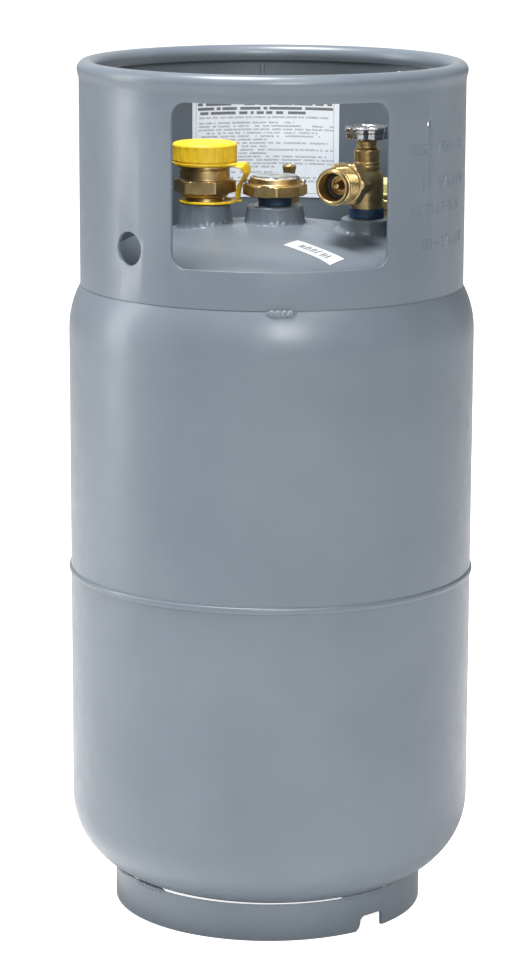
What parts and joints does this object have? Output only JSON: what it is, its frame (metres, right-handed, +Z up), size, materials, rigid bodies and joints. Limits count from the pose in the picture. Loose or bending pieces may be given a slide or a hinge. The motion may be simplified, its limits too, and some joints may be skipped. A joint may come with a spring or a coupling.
{
  "type": "lift-truck propane cylinder",
  "caption": "Steel lift-truck propane cylinder with a pierced valve collar, foot ring, capped fill valve, float gauge, service valve with quick coupler, relief valve and bleeder.",
  "frame": {"origin": "on the floor, at the centre of the vessel's axis", "axes": "+Z up along the vessel, -Y out of the collar's window, +X towards the service valve"},
  "size_m": [0.317, 0.317, 0.666],
  "materials": {
    "painted_steel": "satin grey-blue powder coat with a faint orange peel",
    "forged_brass": "machined and forged brass, lightly tarnished",
    "bright_steel": "bright zinc-plated steel",
    "chrome_zinc": "polished chrome-plated casting",
    "aluminium_tube": "plain drawn aluminium",
    "yellow_plastic": "satin moulded yellow polyethylene",
    "pale_yellow_plastic": "satin moulded pale yellow plastic",
    "white_plastic": "white printed dial",
    "black_plastic": "matt black",
    "blue_sealant": "dried blue thread sealant",
    "black_rubber": "matt black rubber",
    "clear_lens": "clear moulded window",
    "white_label": "white printed vinyl label",
    "float_foam": "fine closed-cell black nitrile foam"
  },
  "bodies": {
    "root": {"lower_shell": "painted_steel", "upper_shell": "painted_steel", "seam_weld": "painted_steel", "foot_ring": "painted_steel", "foot_weld_1": "painted_steel", "foot_weld_2": "painted_steel", "foot_weld_3": "painted_steel", "foot_weld_4": "painted_steel", "foot_weld_5": "painted_steel", "collar": "painted_steel", "collar_weld_front": "painted_steel", "collar_weld_right": "painted_steel", "collar_weld_left": "painted_steel", "fill_boss": "painted_steel", "gauge_boss": "painted_steel", "service_boss": "painted_steel", "relief_boss": "painted_steel", "bleeder_boss": "painted_steel", "fill_valve_body": "forged_brass", "fill_guide": "forged_brass", "gauge_head": "forged_brass", "service_valve_body": "forged_brass", "service_bonnet": "forged_brass", "coupler_body": "forged_brass", "relief_valve_body": "forged_brass", "relief_retainer": "forged_brass", "bleeder_body": "forged_brass", "fill_poppet_spring": "bright_steel", "gauge_screw_1": "bright_steel", "gauge_screw_2": "bright_steel", "liquid_tube": "bright_steel", "coupler_spring": "bright_steel", "relief_spring": "bright_steel", "bleeder_tube": "bright_steel", "gauge_stem_tube": "aluminium_tube", "tether_ring": "yellow_plastic", "gauge_dial_face": "white_plastic", "gauge_thread_sealant": "blue_sealant", "service_thread_sealant": "blue_sealant", "coupler_seal": "black_rubber", "gauge_lens": "clear_lens", "instruction_label": "white_label", "dome_label": "white_label"},
    "wheel": {"handwheel": "chrome_zinc", "handwheel_nut": "bright_steel", "service_stem": "forged_brass"},
    "seat": {"seat_disc": "forged_brass"},
    "cap_carrier": {"cap_loop": "yellow_plastic", "tether_strap": "yellow_plastic"},
    "cap": {"fill_cap": "yellow_plastic"},
    "fill_check": {"fill_poppet": "forged_brass"},
    "float_assembly": {"gauge_shaft": "bright_steel", "gauge_magnet": "bright_steel", "float_arm": "bright_steel", "float": "float_foam"},
    "pointer": {"gauge_pointer": "black_plastic"},
    "coupler_check": {"coupler_poppet": "forged_brass"},
    "relief_check": {"relief_poppet": "forged_brass"},
    "rain_cap": {"relief_cap": "pale_yellow_plastic"},
    "bleeder": {"bleeder_screw": "forged_brass"}
  },
  "joints": [
    {"name": "service_wheel_turn", "type": "hinge", "parent": "root", "child": "wheel", "pos_m": [0.0712, -0.0231, 0.61], "axis": [0, 0, 1], "range_deg": [0, 900]},
    {"name": "seat_lift", "type": "slide", "parent": "root", "child": "seat", "axis": [0, 0, 1], "range_m": [0, 0.004]},
    {"name": "cap_turn", "type": "hinge", "parent": "cap_carrier", "child": "cap", "pos_m": [-0.0515, 0.0103, 0.594], "axis": [0, 0, 1], "range_deg": [0, 1440]},
    {"name": "cap_lift", "type": "slide", "parent": "root", "child": "cap_carrier", "axis": [0, 0, 1], "range_m": [0, 0.017], "deforming": ["tether_strap"]},
    {"name": "fill_check_push", "type": "slide", "parent": "root", "child": "fill_check", "axis": [0, 0, -1], "range_m": [0, 0.007], "stiffness_N_per_m": 500, "springref_m": -0.004, "deforming": ["fill_poppet_spring"]},
    {"name": "float_swing", "type": "hinge", "parent": "root", "child": "float_assembly", "pos_m": [0.0023, 0, 0.45], "axis": [0, 0, 1], "range_deg": [-75, 75]},
    {"name": "pointer_turn", "type": "hinge", "parent": "root", "child": "pointer", "pos_m": [0.0023, 0, 0.5743], "axis": [0, 0, 1], "range_deg": [-76, 76]},
    {"name": "coupler_check_push", "type": "slide", "parent": "root", "child": "coupler_check", "axis": [0.4726, 0.8813, 0], "range_m": [0, 0.005], "stiffness_N_per_m": 600, "springref_m": -0.004, "deforming": ["coupler_spring"]},
    {"name": "relief_check_lift", "type": "slide", "parent": "root", "child": "relief_check", "axis": [0, 0, 1], "range_m": [0, 0.003], "stiffness_N_per_m": 2000, "springref_m": -0.005, "deforming": ["relief_spring"]},
    {"name": "rain_cap_pull", "type": "slide", "parent": "root", "child": "rain_cap", "axis": [0, 0, 1], "range_m": [0, 0.015]},
    {"name": "bleeder_turn", "type": "hinge", "parent": "root", "child": "bleeder", "pos_m": [0.0163, 0.0593, 0.57], "axis": [0, 0, 1], "range_deg": [0, 540]}
  ],
  "couplings": [
    {"joint": "seat_lift", "follows": "service_wheel_turn", "m_per_rad": 0.00025465},
    {"joint": "cap_lift", "follows": "cap_turn", "m_per_rad": 0.00067376},
    {"joint": "pointer_turn", "follows": "float_swing", "ratio": 1}
  ]
}
